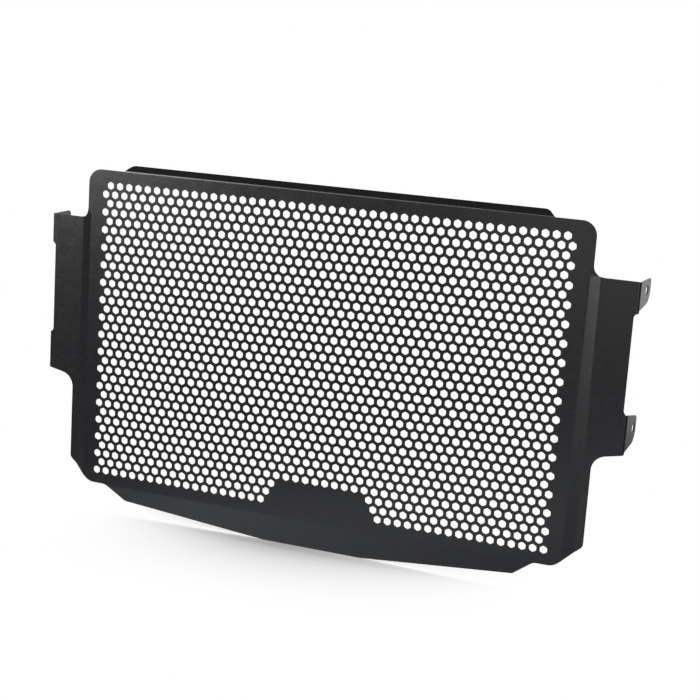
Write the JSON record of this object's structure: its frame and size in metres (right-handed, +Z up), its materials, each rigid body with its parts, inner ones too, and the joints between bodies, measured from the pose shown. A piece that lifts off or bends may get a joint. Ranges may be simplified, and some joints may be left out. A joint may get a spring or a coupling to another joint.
{
  "type": "motorcycle radiator guard",
  "caption": "Folded sheet guard for a radiator: a front panel of hexagonal holes, side wings set back with mounting tabs, and folded lips along its top and bottom edges.",
  "frame": {"origin": "middle of the bounding box, just behind the middle of the perforated panel", "axes": "+X across the guard, to the right as seen from the front; +Y back towards the radiator; +Z up"},
  "size_m": [0.4406, 0.0306, 0.2644],
  "materials": {
    "black_coat": "satin black powder coat"
  },
  "bodies": {
    "root": {"radiator_guard": "black_coat"}
  },
  "joints": []
}
